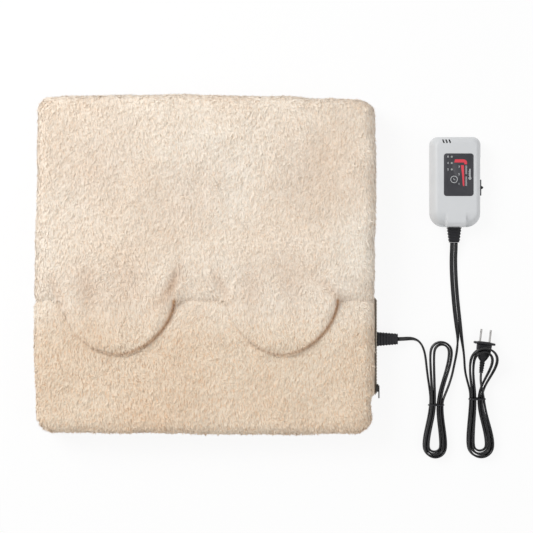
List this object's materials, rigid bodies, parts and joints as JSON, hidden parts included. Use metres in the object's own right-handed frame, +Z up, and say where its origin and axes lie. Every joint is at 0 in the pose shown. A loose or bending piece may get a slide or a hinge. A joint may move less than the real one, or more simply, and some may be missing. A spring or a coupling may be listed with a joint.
{
  "type": "electric foot heater",
  "caption": "Square fleece foot bag with a heated foot bed, two foot holes under hinged tongues, a hand controller with slider and timer button, and a mains plug on tied flat leads.",
  "frame": {"origin": "on the floor under the middle of the foot bag's underside", "axes": "+Z up, +Y towards the toe end of the bag, +X towards the side where the lead is plugged in"},
  "size_m": [0.6162, 0.4842, 0.0623],
  "materials": {
    "fleece": "matte",
    "underside": "matte",
    "foam": "matte",
    "felt": "matte",
    "heater_wire": "satin",
    "black_plastic": "satin",
    "lead": "gloss",
    "tie": "satin",
    "contact_metal": "polished",
    "zip_tape": "matte",
    "zip_metal": "satin",
    "case": "satin",
    "panel": "satin",
    "board": "satin",
    "steel": "satin",
    "lamp": "gloss"
  },
  "bodies": {
    "bag": {"base_sheet": "underside", "foam_cushion": "foam", "lower_felt": "felt", "heater_wire": "heater_wire", "upper_felt": "felt", "foot_bed": "fleece", "side_band": "fleece", "toe_cover": "fleece", "heel_cover": "fleece", "heater_socket": "black_plastic", "socket_pin_1": "contact_metal", "socket_pin_2": "contact_metal", "zip_tape": "zip_tape", "zip_coil": "zip_tape"},
    "left_flap": {"left_tongue": "fleece"},
    "right_flap": {"right_tongue": "fleece"},
    "zip_runner": {"zip_slider": "zip_metal", "zip_pull": "zip_metal"},
    "lead_set": {"connector_plug": "black_plastic", "heater_lead_a": "lead", "heater_lead_hank": "lead", "heater_lead_tie": "tie", "heater_lead_b": "lead", "cord_strain_relief": "black_plastic", "mains_lead_a": "lead", "mains_lead_hank": "lead", "mains_lead_tie": "tie", "mains_lead_b": "lead", "plug_body": "black_plastic", "plug_blade_1": "contact_metal", "plug_blade_2": "contact_metal", "case_top": "case", "case_bottom": "case", "label_panel": "panel", "circuit_board": "board", "slide_resistor": "steel", "timer_switch": "black_plastic", "power_element": "steel", "capacitor": "black_plastic", "timer_lamp_1": "lamp", "timer_lamp_2": "lamp", "timer_lamp_3": "lamp", "case_screw_1": "steel", "case_screw_2": "steel", "case_screw_3": "steel", "case_screw_4": "steel"},
    "slider": {"temperature_slider": "black_plastic"},
    "button": {"timer_button": "panel"}
  },
  "joints": [
    {"name": "left_tongue_lift", "type": "hinge", "parent": "bag", "child": "left_flap", "pos_m": [-0.113, -0.0473, 0.062], "axis": [-1, 0, 0], "range_deg": [0, 70]},
    {"name": "right_tongue_lift", "type": "hinge", "parent": "bag", "child": "right_flap", "pos_m": [0.101, -0.0473, 0.062], "axis": [-1, 0, 0], "range_deg": [0, 70]},
    {"name": "zip_slide", "type": "slide", "parent": "bag", "child": "zip_runner", "axis": [0, 1, 0], "range_m": [0, 0.11]},
    {"name": "connector_unplug", "type": "slide", "parent": "bag", "child": "lead_set", "axis": [1, 0, 0], "range_m": [0, 0.03]},
    {"name": "temperature_slide", "type": "slide", "parent": "lead_set", "child": "slider", "axis": [0, 1, 0], "range_m": [0, 0.028]},
    {"name": "timer_press", "type": "slide", "parent": "lead_set", "child": "button", "axis": [0, 0, -1], "range_m": [0, 0.0006], "stiffness_N_per_m": 400}
  ]
}
